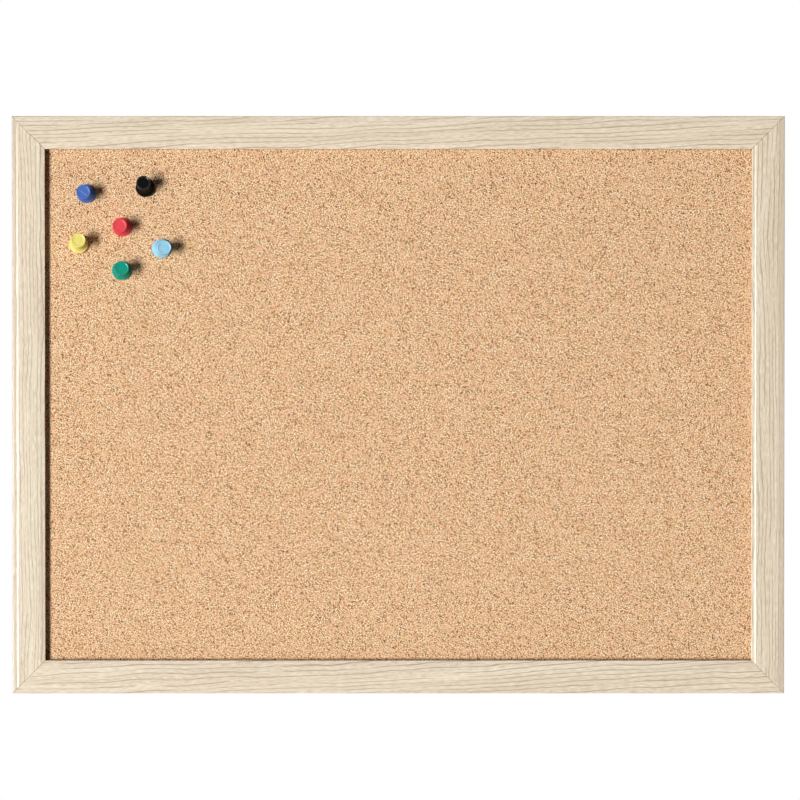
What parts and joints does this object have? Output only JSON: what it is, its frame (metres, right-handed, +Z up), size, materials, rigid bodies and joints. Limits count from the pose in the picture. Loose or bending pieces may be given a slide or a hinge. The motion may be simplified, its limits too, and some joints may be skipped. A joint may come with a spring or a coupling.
{
  "type": "framed cork pin board",
  "caption": "Landscape cork notice board in a rounded pale-oak frame, with coloured push pins that pull out of the cork and swinging ring hangers on its back.",
  "frame": {"origin": "middle of the board's back, on the plane of the wall that its bumpers rest against", "axes": "+X to the right as seen from the front, +Y from the board to the wall, +Z up"},
  "size_m": [0.4, 0.0319, 0.299],
  "materials": {
    "wood_foil": "satin oak-look foil over MDF",
    "cork": "sanded agglomerated cork",
    "fibreboard": "raw soft fibreboard",
    "kraft_liner": "matt kraft board",
    "zinc_plate": "zinc plated",
    "bright_steel": "bright drawn",
    "rubber": "matt",
    "blue_plastic": "gloss",
    "black_plastic": "gloss",
    "red_plastic": "gloss",
    "yellow_plastic": "gloss",
    "light_blue_plastic": "gloss",
    "green_plastic": "gloss"
  },
  "bodies": {
    "board": {"frame_rail_top": "wood_foil", "frame_rail_bottom": "wood_foil", "frame_stile_left": "wood_foil", "frame_stile_right": "wood_foil", "cork_sheet": "cork", "fibreboard_core": "fibreboard", "backing_liner": "kraft_liner", "v_nail_top_left": "bright_steel", "v_nail_top_right": "bright_steel", "v_nail_bottom_left": "bright_steel", "v_nail_bottom_right": "bright_steel", "framers_point_top_1": "zinc_plate", "framers_point_top_2": "zinc_plate", "framers_point_top_3": "zinc_plate", "framers_point_bottom_1": "zinc_plate", "framers_point_bottom_2": "zinc_plate", "framers_point_bottom_3": "zinc_plate", "framers_point_left_1": "zinc_plate", "framers_point_left_2": "zinc_plate", "framers_point_right_1": "zinc_plate", "framers_point_right_2": "zinc_plate", "hanger_strap_left": "zinc_plate", "hanger_strap_right": "zinc_plate", "hanger_screw_left": "bright_steel", "hanger_screw_right": "bright_steel", "bumper_top_left": "rubber", "bumper_top_right": "rubber", "bumper_bottom_left": "rubber", "bumper_bottom_right": "rubber"},
    "ring_left": {"hanger_ring_left": "zinc_plate"},
    "ring_right": {"hanger_ring_right": "zinc_plate"},
    "pin_blue": {"pin_blue_head": "blue_plastic", "pin_blue_needle": "bright_steel"},
    "pin_black": {"pin_black_head": "black_plastic", "pin_black_needle": "bright_steel"},
    "pin_red": {"pin_red_head": "red_plastic", "pin_red_needle": "bright_steel"},
    "pin_yellow": {"pin_yellow_head": "yellow_plastic", "pin_yellow_needle": "bright_steel"},
    "pin_light_blue": {"pin_light_blue_head": "light_blue_plastic", "pin_light_blue_needle": "bright_steel"},
    "pin_green": {"pin_green_head": "green_plastic", "pin_green_needle": "bright_steel"}
  },
  "joints": [
    {"name": "ring_left_swing", "type": "hinge", "parent": "board", "child": "ring_left", "pos_m": [-0.19435, -0.0026, 0.0895], "axis": [1, 0, 0], "range_deg": [0, 180]},
    {"name": "ring_right_swing", "type": "hinge", "parent": "board", "child": "ring_right", "pos_m": [0.19435, -0.0026, 0.0895], "axis": [1, 0, 0], "range_deg": [0, 180]},
    {"name": "pin_blue_pull", "type": "slide", "parent": "board", "child": "pin_blue", "axis": [0, -1, 0], "range_m": [0, 0.02]},
    {"name": "pin_black_pull", "type": "slide", "parent": "board", "child": "pin_black", "axis": [0.0345, -0.9871, 0.1563], "range_m": [0, 0.02]},
    {"name": "pin_red_pull", "type": "slide", "parent": "board", "child": "pin_red", "axis": [0, -1, 0], "range_m": [0, 0.02]},
    {"name": "pin_yellow_pull", "type": "slide", "parent": "board", "child": "pin_yellow", "axis": [0.1208, -0.9842, 0.1296], "range_m": [0, 0.02]},
    {"name": "pin_light_blue_pull", "type": "slide", "parent": "board", "child": "pin_light_blue", "axis": [0.2419, -0.9703, 0], "range_m": [0, 0.02]},
    {"name": "pin_green_pull", "type": "slide", "parent": "board", "child": "pin_green", "axis": [0.1301, -0.9884, 0.0778], "range_m": [0, 0.02]}
  ]
}
